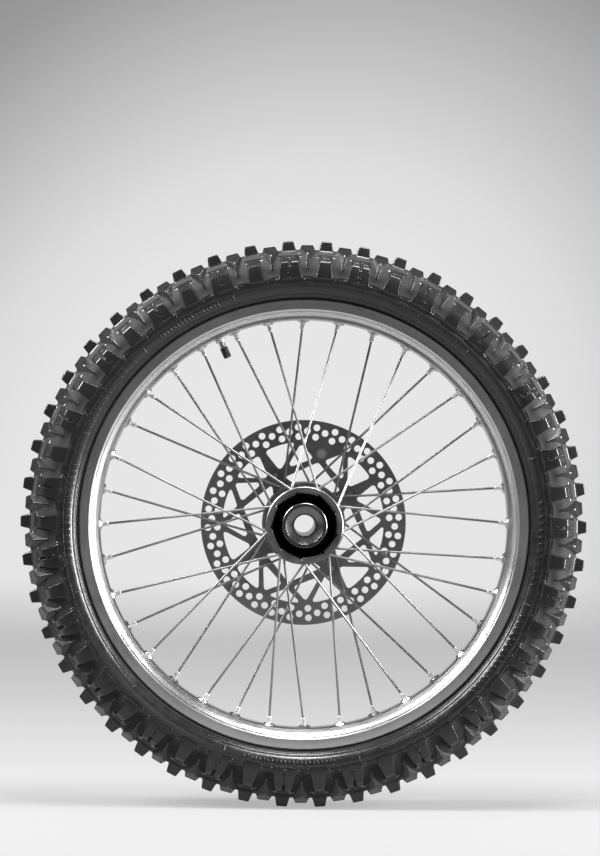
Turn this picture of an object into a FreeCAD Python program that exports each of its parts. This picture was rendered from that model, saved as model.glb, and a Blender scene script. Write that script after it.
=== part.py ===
import FreeCAD, Part
import os
from math import sin, cos, radians, degrees, pi, sqrt, atan2
from FreeCAD import Vector as V

os.makedirs("parts", exist_ok=True)

# ---------------------------------------------------------------- driving dimensions (mm)
# Off-road motorcycle front wheel. Origin at the wheel's centre on the axle axis,
# axle along Y, brake disc on the +Y side, free side at -Y, +Z up.
TYRE_R = 353.95          # over the flat tops of the tall tread blocks
CROWN_R = 343.5          # carcass crown between the blocks
PITCHES = 46             # tread pitches round the tyre, narrow and wide shoulder blocks alternate
PHASE = 180.0 / PITCHES  # the tyre stands on two tall blocks
SEAT_R = 267.4           # bead seat
FLANGE_R = 281.7         # rim flange
FLANGE_Y = 26.0
WELL_R = 259.0           # rim well, tyre side
UNDER_R = 255.0          # rim underside, spoke side
SPOKES = 36
SPOKE_R = 1.8
NIPPLE_R = 3.2
NIPPLE_Y = 4.0           # nipple holes stand this far either side of the rim's middle
HUB_R_FREE = 48.0
HUB_R_DISC = 52.5
FREE_IN, FREE_OUT = -42.0, -49.0      # the two rows of spokes in the free-side flange
DISC_IN, DISC_OUT = 30.0, 37.0        # the two rows in the disc-side flange
AXLE_R = 13.0
BEAR_ID, BEAR_OD, BEAR_W = 30.0, 47.0, 9.0
BEAR_FREE = (-46.0, -37.0)
BEAR_DISC = (29.0, 38.0)
BALL_R, BALL_PCR, BALLS = 2.5, 19.25, 13
END_FREE, END_DISC = -56.0, 56.0      # outer faces of the two wheel spacers
DISC_Y = (45.5, 48.5)                 # friction band; the carrier inside it is 0.2 thinner on each face
SEAT_Y, SCREW_Y = 45.7, 48.3
BAND_R = 103.9
DISC_R = 130.0
TURN = -0.8              # hub, spokes, disc and valve stand this far round from the tread's pitch line
BOLT_A, BOLT_PCR = 59.3 + TURN, 69.0
VALVE_A = 334.8
Y = V(0, 1, 0)
O = V(0, 0, 0)


def pol(r, a, y=0.0):
    """point at radius r, angle a degrees from +Z towards +X"""
    return V(r * sin(radians(a)), y, r * cos(radians(a)))


def ring(pts, a0=0.0, ang=360.0):
    """solid of revolution about Y from a closed polygon of (radius, y)"""
    vs = [V(0, y, r) for r, y in pts]
    f = Part.Face(Part.makePolygon(vs + [vs[0]]))
    if a0:
        f.rotate(O, Y, a0)
    return f.revolve(O, Y, ang)


def sym(half):
    """mirror a half profile that starts and ends on y = 0 or is listed from +y, into a closed one"""
    return half + [(r, -y) for r, y in reversed(half) if y != 0]


def hull_solid(pts):
    """convex solid over a few points"""
    n = len(pts)
    c = V(0, 0, 0)
    for p in pts:
        c = c + p
    c = c * (1.0 / n)
    faces, seen = [], set()
    for i in range(n):
        for j in range(i + 1, n):
            for k in range(j + 1, n):
                nn = (pts[j] - pts[i]).cross(pts[k] - pts[i])
                if nn.Length < 1e-6:
                    continue
                nn.normalize()
                d = [(p - pts[i]).dot(nn) for p in pts]
                if max(d) > 1e-6 and min(d) < -1e-6:
                    continue
                on = tuple(m for m in range(n) if abs(d[m]) <= 1e-6)
                if on in seen:
                    continue
                seen.add(on)
                cc = V(0, 0, 0)
                for m in on:
                    cc = cc + pts[m]
                cc = cc * (1.0 / len(on))
                u = (pts[on[0]] - cc)
                u.normalize()
                w = nn.cross(u)
                order = sorted(on, key=lambda m: atan2((pts[m] - cc).dot(w), (pts[m] - cc).dot(u)))
                # drop points lying on a straight edge of the face
                keep = []
                for q in range(len(order)):
                    a, b, e = pts[order[q - 1]], pts[order[q]], pts[order[(q + 1) % len(order)]]
                    if (b - a).cross(e - b).Length > 1e-6:
                        keep.append(b)
                faces.append(Part.Face(Part.makePolygon(keep + [keep[0]])))
    s = Part.Solid(Part.Shell(faces))
    if s.Volume < 0:
        s.reverse()
    return s


def rounded(pts, r):
    """closed wire in the XZ plane through pts with its corners rounded to radius r"""
    n = len(pts)
    ends = []
    for i in range(n):
        a, b, c = pts[i - 1], pts[i], pts[(i + 1) % n]
        d1, d2 = (b - a), (c - b)
        l1, l2 = d1.Length, d2.Length
        d1.normalize(); d2.normalize()
        turn = d1.getAngle(d2)
        if turn < radians(12):
            ends.append((b, None, b))
            continue
        t = min(r * abs(sin(turn / 2) / cos(turn / 2)), 0.45 * l1, 0.45 * l2)
        rr = t / (sin(turn / 2) / cos(turn / 2))
        p, q = b - d1 * t, b + d2 * t
        bis = (d2 - d1)
        bis.normalize()
        dist = sqrt(rr * rr + t * t)
        ends.append((p, b + bis * (dist - rr), q))
    es = []
    for i in range(n):
        p, m, q = ends[i]
        if m is not None:
            es.append(Part.Arc(p, m, q).toShape())
        nx = ends[(i + 1) % n][0]
        if (nx - q).Length > 1e-6:
            es.append(Part.LineSegment(q, nx).toShape())
    return Part.Wire(es)


def plate(wire, y0, y1):
    f = Part.Face(wire)
    s = f.extrude(V(0, y1 - y0, 0))
    s.translate(V(0, y0, 0))
    return s


def group(shapes):
    return Part.makeCompound(shapes)


OUT = {}


def put(name, shape):
    OUT[name] = shape


# ---------------------------------------------------------------- tyre
STEP = 360.0 / PITCHES


def tyre_solid():
    outer = [(282.3, 27.6), (284.6, 33.6), (290.0, 39.6), (297.0, 43.4), (304.0, 44.2), (312.0, 43.2),
             (321.0, 40.2), (331.0, 33.6), (338.4, 24.0), (342.3, 12.5), (CROWN_R, 0.0)]
    full = [V(0, y, r) for r, y in outer] + [V(0, -y, r) for r, y in reversed(outer[:-1])]
    curve = Part.BSplineCurve()
    curve.interpolate(full)
    inner = [(282.3, -27.6), (282.05, -24.0), (281.6, -21.2), (279.6, -20.1), (270.0, -20.05), (SEAT_R, -18.6), (SEAT_R, -9.0),
             (270.0, -9.3), (276.0, -12.0), (282.0, -17.5), (290.0, -27.0), (298.0, -36.0), (306.0, -38.5),
             (314.0, -37.5), (322.0, -33.5), (329.0, -26.0), (333.5, -15.0), (335.0, -5.0)]
    inner = inner + [(r, -y) for r, y in reversed(inner)]
    es = [curve.toShape()]
    for a, b in zip(inner[:-1], inner[1:]):
        es.append(Part.LineSegment(V(0, a[1], a[0]), V(0, b[1], b[0])).toShape())
    face = Part.Face(Part.Wire(es))
    a0 = -STEP / 4.0
    face.rotate(O, Y, a0)
    base = face.revolve(O, Y, 2 * STEP)

    def pts(rows):
        """rows of (half width, y, radius) -> mirrored point pairs"""
        out = []
        for t, y, r in rows:
            out += [V(t, y, r), V(-t, y, r)] if t else [V(0, y, r)]
        return out

    knobs = []
    for i in range(2):                                   # tall centre blocks
        k = hull_solid(pts([(6.5, 13.5, TYRE_R), (6.5, -13.5, TYRE_R), (9.8, 17.5, 338.0), (9.8, -17.5, 338.0)]))
        k.rotate(O, Y, i * STEP)
        knobs.append(k)
    for i in range(2):                                   # intermediate blocks, pointed towards the shoulder
        for sg in (1, -1):
            k = hull_solid(pts([(7.2, sg * 10.5, 349.0), (9.6, sg * 22.5, 343.0), (0, sg * 31.0, 338.75),
                                (9.4, sg * 8.6, 341.0), (10.3, sg * 24.0, 331.2), (0, sg * 42.0, 318.0)]))
            k.rotate(O, Y, (i + 0.5) * STEP)
            knobs.append(k)
    for i, (t1, t2, t3) in enumerate(((6.0, 7.2, 9.9), (9.5, 11.4, 13.6))):   # shoulder blocks
        for sg in (1, -1):
            k = hull_solid(pts([(t1, sg * 36.6, 332.2), (t2, sg * 43.4, 325.8), (t3, sg * 45.8, 308.0),
                                (t1, sg * 35.0, 325.0), (t2, sg * 41.0, 303.5)]))
            if i:                                        # the wide block is split by a sipe
                sl = Part.makeBox(3.4, 24.0, 14.0, V(-1.7, 31.0 if sg > 0 else -55.0, 321.0))
                k = k.cut(sl)
            k.rotate(O, Y, i * STEP)
            knobs.append(k)
    sec = base.multiFuse(knobs).removeSplitter()
    keep = []
    a1 = a0 + 2 * STEP
    for f in sec.Faces:
        flat = all(abs(V(v.X, 0, v.Z).dot(pol(1, a0 + 90))) < 1e-4 for v in f.Vertexes) or \
            all(abs(V(v.X, 0, v.Z).dot(pol(1, a1 + 90))) < 1e-4 for v in f.Vertexes)
        if not flat:
            keep.append(f)
    faces = []
    for k in range(PITCHES // 2):
        for f in keep:
            g = f.copy()
            g.rotate(O, Y, k * 2 * STEP + PHASE)
            faces.append(g)
    sh = Part.makeCompound(faces)
    sh.sewShape(1e-3)
    shell = sh.Shells[0] if sh.Shells else Part.Shell(sh.Faces)
    s = Part.Solid(shell)
    if s.Volume < 0:
        s.reverse()
    print("tyre sector faces", len(keep), "shells", len(sh.Shells), "closed", shell.isClosed(), "valid", s.isValid(), "vol", s.Volume)
    return s


def bead(sg, grow):
    g = grow
    return ring([(269.4 - g, sg * 11.6 - g), (269.4 - g, sg * 11.6 + 5.4 + g), (274.8 + g, sg * 11.6 + 5.4 + g),
                 (274.8 + g, sg * 11.6 - g)] if sg > 0 else
                [(269.4 - g, -17.0 - g), (269.4 - g, -11.6 + g), (274.8 + g, -11.6 + g), (274.8 + g, -17.0 - g)])


tyre = tyre_solid()
for sg in (1, -1):
    tyre = tyre.cut(bead(sg, 0.05))
put("tyre", tyre)
put("bead_core_disc_side", bead(1, 0.0))
put("bead_core_free_side", bead(-1, 0.0))

# ---------------------------------------------------------------- inner tube and rim strip
vdir = pol(1, VALVE_A)
tube_out = [(260.15, 0), (260.15, 6.2), (268.0, 7.4), (270.5, 8.4), (276.2, 11.2), (282.3, 16.6), (290.3, 26.2),
            (298.1, 35.2), (306.0, 37.8), (313.8, 36.8), (321.6, 32.9), (328.4, 25.4), (332.8, 14.6), (334.4, 4.0), (334.4, 0)]
tube_in = [(262.3, 0), (262.3, 4.2), (268.2, 5.2), (271.0, 6.3), (277.6, 9.6), (283.8, 15.0), (291.8, 24.7),
           (299.0, 33.0), (306.0, 35.3), (312.9, 34.4), (320.2, 30.8), (326.6, 23.8), (330.7, 13.8), (332.2, 4.0), (332.2, 0)]
tube = ring(sym(tube_out)).cut(ring(sym(tube_in)))
tube = tube.cut(Part.makeCylinder(4.0, 12, vdir * 256, vdir))
put("inner_tube", tube)
strip = ring([(WELL_R + 0.05, -6.6), (WELL_R + 0.05, 6.6), (WELL_R + 1.05, 6.6), (WELL_R + 1.05, -6.6)])
strip = strip.cut(Part.makeCylinder(4.2, 12, vdir * 254, vdir))
put("rim_strip", strip)

# ---------------------------------------------------------------- spoke lines
spokes = []   # (set name, hub point, seat point, nipple point, direction)
for k in range(9):
    for name, ah, yh, rh, seat, sgn, ny in (
            ("free_leading", 20 + 40 * k + TURN, FREE_OUT, 47.0, 43.6, -1, -NIPPLE_Y),
            ("free_trailing", 20 + 40 * k + TURN, FREE_IN, 47.0, 43.6, 1, -NIPPLE_Y),
            ("disc_leading", 10 + 40 * k + TURN, DISC_IN, 50.0, 46.8, -1, NIPPLE_Y),
            ("disc_trailing", 10 + 40 * k + TURN, DISC_OUT, 50.0, 46.8, 1, NIPPLE_Y)):
        h = pol(rh, ah, yh)
        n = pol(258.0, ah + sgn * 30, ny)
        d = n - h
        d.normalize()
        # walk back along the line to the radius of the head's seat
        t = 0.0
        while True:
            p = h - d * t
            if sqrt(p.x ** 2 + p.z ** 2) <= seat:
                break
            t += 0.02
        spokes.append((name, h, h - d * t, n, d, ah))

sets = {}
for name, h, s, n, d, ah in spokes:
    body = Part.makeCylinder(SPOKE_R, (n - s).Length, s - d * 1.0, d)
    head = Part.makeCylinder(3.3, 2.2, s - d * 2.25, d)
    sets.setdefault(name, []).append(body.fuse(head))
for name, lst in sets.items():
    put("spokes_" + name, group(lst))

nip = {"free_side": [], "disc_side": []}
holes, bosses = [], []
for name, h, s, n, d, ah in spokes:
    sh = Part.makeCylinder(NIPPLE_R, 11.6, n - d * 14.4, d)
    sh = sh.fuse(Part.makeCone(NIPPLE_R, 4.2, 2.0, n - d * 2.8, d)).fuse(Part.makeCylinder(4.2, 0.5, n - d * 0.8, d))
    sh = sh.cut(Part.makeCylinder(SPOKE_R + 0.05, 20, n - d * 16, d))
    nip["free_side" if name.startswith("free") else "disc_side"].append(sh.removeSplitter())
    t = Part.makeCylinder(NIPPLE_R + 0.1, 13, n - d * 12.9, d)
    t = t.fuse(Part.makeCone(NIPPLE_R + 0.1, 4.35, 2.1, n - d * 2.85, d)).fuse(Part.makeCylinder(4.35, 4.5, n - d * 0.75, d))
    holes.append(t)
    bosses.append(Part.makeCone(5.2, 7.6, 3.2, n - d * 5.6, d))
put("nipples_free_side", group(nip["free_side"]))
put("nipples_disc_side", group(nip["disc_side"]))

# ---------------------------------------------------------------- rim
rim_half = [(WELL_R, 0), (WELL_R, 7.2), (SEAT_R - 0.6, 10.6), (SEAT_R, 11.6), (SEAT_R, 19.2), (269.6, 20.4), (279.2, 20.5),
            (281.2, 21.8), (FLANGE_R, 23.6), (281.0, 25.3), (279.4, FLANGE_Y), (268.6, FLANGE_Y), (266.6, 24.6), (265.4, 21.6),
            (261.8, 18.6), (260.6, 17.8), (256.6, 12.6), (UNDER_R, 9.0), (UNDER_R, 0)]
rim = ring(sym(rim_half))
rim = rim.multiFuse(bosses)
rim = rim.cut(group(holes))
rim = rim.cut(Part.makeCylinder(4.15, 20, vdir * 246, vdir))
put("rim", rim)

# ---------------------------------------------------------------- valve
def rod(r, r0, r1):
    """round bar along the valve axis from radius r0 to r1"""
    return Part.makeCylinder(r, r1 - r0, vdir * r0, vdir)


def hexbar(af, r0, r1):
    R = af / sqrt(3.0)
    side = Y.cross(vdir)
    w = []
    for i in range(6):
        a = radians(60 * i)
        w.append(vdir * r0 + Y * (R * cos(a)) + side * (R * sin(a)))
    return Part.Face(Part.makePolygon(w + [w[0]])).extrude(vdir * (r1 - r0))


TIP = 231.7              # radius of the stem's open end
foot = rod(8.0, 262.75, 264.4).common(Part.makeBox(700, 8.2, 700, V(-350, -4.1, -350)))
stem = rod(3.9, TIP, 264.4).fuse(foot).cut(rod(1.6, 220.0, 270.0))
put("valve_stem", stem.removeSplitter())
put("valve_core", rod(1.55, TIP + 1.2, TIP + 14.0).cut(rod(0.62, 220.0, 255.0)))
put("valve_pin", rod(0.5, TIP + 0.6, TIP + 17.0).fuse(rod(1.2, TIP + 15.4, TIP + 17.6)).removeSplitter())
put("valve_nut", hexbar(12.0, 250.6, 254.8).cut(rod(4.0, 245.0, 260.0)))
cap = rod(4.9, TIP - 2.8, TIP + 11.0).cut(rod(4.0, TIP - 0.8, TIP + 13.0))
for i in range(12):
    a = radians(30 * i)
    side = Y.cross(vdir)
    c = vdir * (TIP - 4.0) + Y * (5.35 * cos(a)) + side * (5.35 * sin(a))
    cap = cap.cut(Part.makeCylinder(0.75, 13.0, c, vdir))
put("valve_cap", cap)

# ---------------------------------------------------------------- hub
hub = ring([(23.5, -52.0), (28.0, -52.0), (28.0, -38.0), (41.0, -38.0), (41.0, -50.4), (35.6, -50.4), (35.6, -51.2), (41.0, -54.0),
            (HUB_R_FREE - 0.8, -54.0), (HUB_R_FREE, -53.2), (HUB_R_FREE, -37.0), (HUB_R_FREE - 2.0, -34.5), (36.0, -31.0),
            (30.5, -24.0), (29.5, 18.0), (31.0, 22.0), (31.0, 41.0), (43.6, 41.0), (43.6, 24.6), (HUB_R_DISC - 1.0, 24.6),
            (HUB_R_DISC, 25.6), (HUB_R_DISC, 43.0), (HUB_R_DISC - 1.5, DISC_Y[0]), (23.5, DISC_Y[0]), (23.5, 28.6),
            (19.5, 28.6), (19.5, -36.6), (23.5, -36.6)])
lugs = []
for k in range(4):
    a = BOLT_A + 90 * k
    u, w = pol(1, a), pol(1, a + 90)
    p = [u * 44 - w * 17, u * 44 + w * 17, u * 58 + w * 11.0, u * 70 + w * 8.0, u * 77 + w * 5.5, u * 77 - w * 5.5,
         u * 70 - w * 8.0, u * 58 - w * 11.0]
    lugs.append(plate(rounded(p, 6.0), 36.5, SEAT_Y))
hub = hub.multiFuse(lugs)
hub = hub.cut(ring([(31.0, 24.0), (31.0, 41.0), (43.6, 41.0), (43.6, 24.0)]))
cuts = []
for name, h, s, n, d, ah in spokes:
    cuts.append(Part.makeCylinder(SPOKE_R + 0.1, 30.0, s, d))
    cuts.append(Part.makeCylinder(3.8, 9.0 if "disc" in name else 10.5, s - d * (9.0 if "disc" in name else 10.5), d))
for k in range(9):                              # notch in the lip over each spoke head
    cuts.append(Part.makeCylinder(4.4, 7.1, pol(36.1, 35.5 + 40 * k + TURN, -55.5), Y))
for k in range(4):
    cuts.append(Part.makeCylinder(4.05, 20, pol(BOLT_PCR, BOLT_A + 90 * k, 30.0), Y))
hub = hub.cut(group(cuts))
print("hub solids", len(hub.Solids), hub.isValid())
put("hub", hub)

# ---------------------------------------------------------------- bearings
gr = BALL_R + 0.08


def groove():
    t = Part.makeTorus(BALL_PCR, gr, O, Y)
    return t


for side, (y0, y1) in (("free_side", BEAR_FREE), ("disc_side", BEAR_DISC)):
    ym = (y0 + y1) / 2
    t = groove()
    t.translate(V(0, ym, 0))
    inner = ring([(15.05, y0), (17.7, y0), (17.7, y1), (15.05, y1)]).cut(t)
    outer = ring([(20.8, y0), (23.45, y0), (23.45, y1), (20.8, y1)]).cut(t)
    put("bearing_inner_race_" + side, inner)
    put("bearing_outer_race_" + side, outer)
    cage = ring([(18.7, ym - 3.0), (19.8, ym - 3.0), (19.8, ym + 3.0), (18.7, ym + 3.0)])
    balls, pock = [], []
    for i in range(BALLS):
        c = pol(BALL_PCR, 360.0 * i / BALLS, ym)
        balls.append(Part.makeSphere(BALL_R, c))
        pock.append(Part.makeCylinder(BALL_R + 0.02, 6, pol(BALL_PCR - 3, 360.0 * i / BALLS, ym), pol(1, 360.0 * i / BALLS)))
    put("bearing_balls_" + side, group(balls))
    put("bearing_cage_" + side, cage.cut(group(pock)))
    put("bearing_shields_" + side, group([ring([(18.05, a), (20.75, a), (20.75, a + 0.7), (18.05, a + 0.7)]) for a in (y0 + 0.1, y1 - 0.8)]))

# ---------------------------------------------------------------- axle-side set
put("distance_sleeve", ring([(AXLE_R, BEAR_FREE[1]), (17.3, BEAR_FREE[1]), (17.3, BEAR_DISC[0]), (AXLE_R, BEAR_DISC[0])]))
put("wheel_spacer_free_side", ring([
    (AXLE_R, -51.0), (15.5, -51.2), (23.2, -55.0), (23.4, END_FREE), (27.2, END_FREE), (27.9, -55.3), (27.9, -52.6),
    (20.0, -52.6), (20.0, -47.0), (17.4, -46.6), (17.4, BEAR_FREE[0]), (15.0, BEAR_FREE[0]), (15.0, BEAR_FREE[1]), (AXLE_R, BEAR_FREE[1])]))
put("wheel_spacer_disc_side", ring([
    (AXLE_R, BEAR_DISC[0]), (15.0, BEAR_DISC[0]), (15.0, BEAR_DISC[1]), (17.4, BEAR_DISC[1]), (17.4, 38.6), (20.0, 39.0),
    (20.0, 46.2), (27.9, 46.2), (27.9, 49.0), (22.0, 51.0), (22.0, END_DISC - 0.6), (21.4, END_DISC), (14.0, END_DISC), (AXLE_R, END_DISC - 0.5)]))
put("oil_seal_free_side", ring([
    (20.12, -48.8), (20.12, -49.6), (21.2, -50.4), (21.2, -51.8), (23.45, -51.8), (23.45, -46.4), (21.6, -46.4), (21.6, -47.6)]))
put("oil_seal_disc_side", ring([
    (20.12, 40.8), (20.12, 41.6), (21.2, 42.6), (21.2, 45.2), (23.45, 45.2), (23.45, 38.4), (21.6, 38.4), (21.6, 39.6)]))

# ---------------------------------------------------------------- brake disc and its screws
A0 = 14.1


def win(pr, k, r=3.2):
    return plate(rounded([pol(R, a + 90 * k + TURN) for a, R in pr], r), DISC_Y[0] - 1, DISC_Y[1] + 1)


w1 = [(4.0, 102.0), (9, 102.3), (A0, 102.4), (19, 102.3), (24.2, 102.0), (24.4, 99.4), (A0, 86.3), (3.8, 99.4)]
w2 = [(29.9, 100.2), (45.3, 71.8), (18.8, 82.4)]
w5 = [(2 * A0 - a, R) for a, R in reversed(w2)]
w3 = [(33.8, 102.2), (39.5, 102.4), (45, 102.4), (51, 102.4), (56.6, 102.2), (52.2, 71.2)]
w4 = [(2 * (A0 + 45) - a, R) for a, R in reversed(w3)]
w6 = [(A0, 78.6), (48.8, 62.0), (44.0, 50.0), (A0, 50.0), (2 * A0 - 44.0, 50.0), (2 * A0 - 48.8, 62.0)]
disc = ring([(57.5, SEAT_Y), (57.5, SCREW_Y), (BAND_R, SCREW_Y), (BAND_R, DISC_Y[1]), (DISC_R - 0.4, DISC_Y[1]), (DISC_R, DISC_Y[1] - 0.4), (DISC_R, DISC_Y[0] + 0.4),
             (DISC_R - 0.4, DISC_Y[0]), (BAND_R, DISC_Y[0]), (BAND_R, SEAT_Y)])
tools = []
for k in range(4):
    if k:
        tools.append(win(w1, k))
    tools += [win(w2, k), win(w5, k), win(w3, k, 4.0), win(w4, k, 4.0), win(w6, k, 4.0)]
    tools.append(Part.makeCylinder(4.05, 10, pol(BOLT_PCR, BOLT_A + 90 * k, 42.0), Y))
for i in range(32):
    for R, a in ((121.2, 8.31), (116.1, 2.65), (109.2, 8.31)):
        tools.append(Part.makeCylinder(4.25, 6, pol(R, a + 11.25 * i + TURN, 44.0), Y))
disc = disc.cut(group(tools))
print("disc solids", len(disc.Solids), disc.isValid())
put("brake_disc", disc)
bolts = []
for k in range(4):
    c = pol(BOLT_PCR, BOLT_A + 90 * k, 36.7)
    b = Part.makeCylinder(4.0, SCREW_Y - 36.7, c, Y).fuse(Part.makeCone(7.2, 5.4, 3.6, pol(BOLT_PCR, BOLT_A + 90 * k, SCREW_Y), Y))
    R = 5.0 / sqrt(3.0)
    w = [pol(BOLT_PCR, BOLT_A + 90 * k, 53.0) + V(R * cos(radians(60 * i)), 0, R * sin(radians(60 * i))) for i in range(6)]
    b = b.cut(Part.Face(Part.makePolygon(w + [w[0]])).extrude(V(0, -2.4, 0)))
    bolts.append(b.removeSplitter())
put("disc_bolts", group(bolts))

for name, s in OUT.items():
    s.exportStep("parts/" + name + ".step")
    bb = s.BoundBox
    print("%-34s solids %2d valid %s vol %10.1f  y %.2f..%.2f z %.2f..%.2f" % (
        name, len(s.Solids), s.isValid(), s.Volume, bb.YMin, bb.YMax, bb.ZMin, bb.ZMax))
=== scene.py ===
import math
import random
import bpy
import bmesh
import numpy as np
from math import sin, cos, radians, degrees, pi, sqrt, hypot, atan2
from mathutils import Vector, Matrix, Quaternion


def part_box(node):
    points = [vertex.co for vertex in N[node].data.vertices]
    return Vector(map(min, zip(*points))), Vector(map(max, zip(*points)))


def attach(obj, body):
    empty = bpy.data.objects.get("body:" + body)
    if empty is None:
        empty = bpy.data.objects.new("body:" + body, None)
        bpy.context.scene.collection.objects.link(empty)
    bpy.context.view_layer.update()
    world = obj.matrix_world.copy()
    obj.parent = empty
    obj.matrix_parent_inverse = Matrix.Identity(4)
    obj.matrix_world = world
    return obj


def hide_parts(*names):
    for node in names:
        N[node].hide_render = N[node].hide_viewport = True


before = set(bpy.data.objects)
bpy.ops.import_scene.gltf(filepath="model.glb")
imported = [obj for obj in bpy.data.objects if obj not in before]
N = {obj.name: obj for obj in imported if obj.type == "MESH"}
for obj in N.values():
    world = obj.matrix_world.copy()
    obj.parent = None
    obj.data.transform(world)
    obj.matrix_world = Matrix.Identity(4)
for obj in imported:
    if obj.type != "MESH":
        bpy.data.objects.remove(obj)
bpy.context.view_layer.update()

random.seed(7)
RNG = np.random.default_rng(7)
MM = 0.001
scene = bpy.context.scene

# ------------------------------------------------------------------ sizes shared with the CAD model (mm, degrees)
PITCHES = 46
STEP = 360.0 / PITCHES
PHASE = 180.0 / PITCHES
LACE = -0.8              # turn of the spoked parts
DISC_T = -0.8            # turn of the disc and hub lugs
SEAT_R, FLANGE_R, FLANGE_Y = 267.4, 281.7, 26.0
WELL_R, UNDER_R = 259.0, 255.0
FREE_IN, FREE_OUT, DISC_IN, DISC_OUT = -42.0, -49.0, 30.0, 37.0
NIPPLE_Y = 4.0
VALVE_A = 334.8
BOLT_A, BOLT_PCR = 59.3, 69.0
FLOOR_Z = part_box("tyre")[0].z


def pol(r, a, y=0.0):
    return np.array([r * sin(radians(a)), y, r * cos(radians(a))])


# ------------------------------------------------------------------ mesh helpers
def make(name, verts, faces, mat=None, smooth=True, body="wheel", replaces=(), slot=None, sharp=None, weighted=False):
    me = bpy.data.meshes.new(name)
    me.from_pydata([tuple(float(c) * MM for c in v) for v in verts], [], [tuple(int(i) for i in f) for f in faces])
    me.validate()
    bm = bmesh.new()
    bm.from_mesh(me)
    bmesh.ops.recalc_face_normals(bm, faces=bm.faces)
    if smooth:
        for f in bm.faces:
            f.smooth = True
    if sharp is not None:
        lim = radians(sharp)
        for e in bm.edges:
            if len(e.link_faces) == 2 and e.calc_face_angle(0.0) > lim:
                e.smooth = False
    bm.to_mesh(me)
    bm.free()
    me.update()
    ob = bpy.data.objects.new(name, me)
    scene.collection.objects.link(ob)
    if mat is not None:
        me.materials.append(mat)
    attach(ob, body)
    if replaces:
        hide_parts(*replaces)
    if weighted:
        m = ob.modifiers.new("weighted", "WEIGHTED_NORMAL")
        m.weight = 80
        m.keep_sharp = True
    return ob


def round_poly(pts, r, n=3, closed=True):
    """2-D polygon with its corners rounded; r is one radius or one per point"""
    pts = [np.array(p, float) for p in pts]
    out = []
    m = len(pts)
    for i in range(m):
        if not closed and i in (0, m - 1):
            out.append(pts[i])
            continue
        a, b, c = pts[i - 1], pts[i], pts[(i + 1) % m]
        rr = r[i] if isinstance(r, (list, tuple)) else r
        d1, d2 = b - a, c - b
        l1, l2 = np.linalg.norm(d1), np.linalg.norm(d2)
        d1 /= l1
        d2 /= l2
        turn = math.acos(max(-1, min(1, float(d1 @ d2))))
        if turn < radians(4) or rr <= 0:
            out.append(b)
            continue
        t = min(rr * math.tan(turn / 2), 0.46 * l1, 0.46 * l2)
        ra = t / math.tan(turn / 2)
        p, q = b - d1 * t, b + d2 * t
        bis = d2 - d1
        bis /= np.linalg.norm(bis)
        ctr = b + bis * sqrt(ra * ra + t * t)
        v0, v1 = p - ctr, q - ctr
        a0, a1 = atan2(v0[1], v0[0]), atan2(v1[1], v1[0])
        da = (a1 - a0 + pi) % (2 * pi) - pi
        for k in range(n + 1):
            an = a0 + da * k / n
            out.append(ctr + ra * np.array([cos(an), sin(an)]))
    return out


def lathe(profile, segs=128, closed=True, disp=None):
    """turned shape about Y from (radius, y) points; disp(r, y, angle degrees) moves a point to a new (r, y)"""
    m = len(profile)
    verts, faces = [], []
    for k in range(segs):
        a = 360.0 * k / segs
        for (r, y) in profile:
            if disp:
                r, y = disp(r, y, a)
            verts.append(pol(r, a, y))
    for k in range(segs):
        k2 = (k + 1) % segs
        for i in range(m if closed else m - 1):
            j = (i + 1) % m
            faces.append((k * m + i, k * m + j, k2 * m + j, k2 * m + i))
    return verts, faces


def turned(name, profile, r=0.4, segs=160, n=3, **kw):
    v, f = lathe(round_poly(profile, r, n), segs)
    return make(name, v, f, **kw)


def basis(d):
    d = np.array(d, float)
    d /= np.linalg.norm(d)
    h = np.array([0.0, 1.0, 0.0]) if abs(d[1]) < 0.9 else np.array([1.0, 0, 0])
    u = np.cross(h, d)
    u /= np.linalg.norm(u)
    return u, np.cross(d, u), d


def along(profile, p, d, segs=24, radius=None):
    """solid turned about the line p + d*t from (t, radius) points; ends are closed"""
    u, w, d = basis(d)
    verts, faces = [], []
    for t, r in profile:
        for k in range(segs):
            a = 2 * pi * k / segs
            rr = radius(t, r, a) if radius else r
            verts.append(p + d * t + (u * cos(a) + w * sin(a)) * rr)
    for i in range(len(profile) - 1):
        for k in range(segs):
            k2 = (k + 1) % segs
            faces.append((i * segs + k, i * segs + k2, (i + 1) * segs + k2, (i + 1) * segs + k))
    faces.append(tuple(range(segs - 1, -1, -1)))
    faces.append(tuple(range((len(profile) - 1) * segs, len(profile) * segs)))
    return verts, faces


class Bag:
    def __init__(self):
        self.v, self.f = [], []

    def add(self, vf):
        o = len(self.v)
        self.v.extend(vf[0])
        self.f.extend(tuple(i + o for i in face) for face in vf[1])


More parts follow.
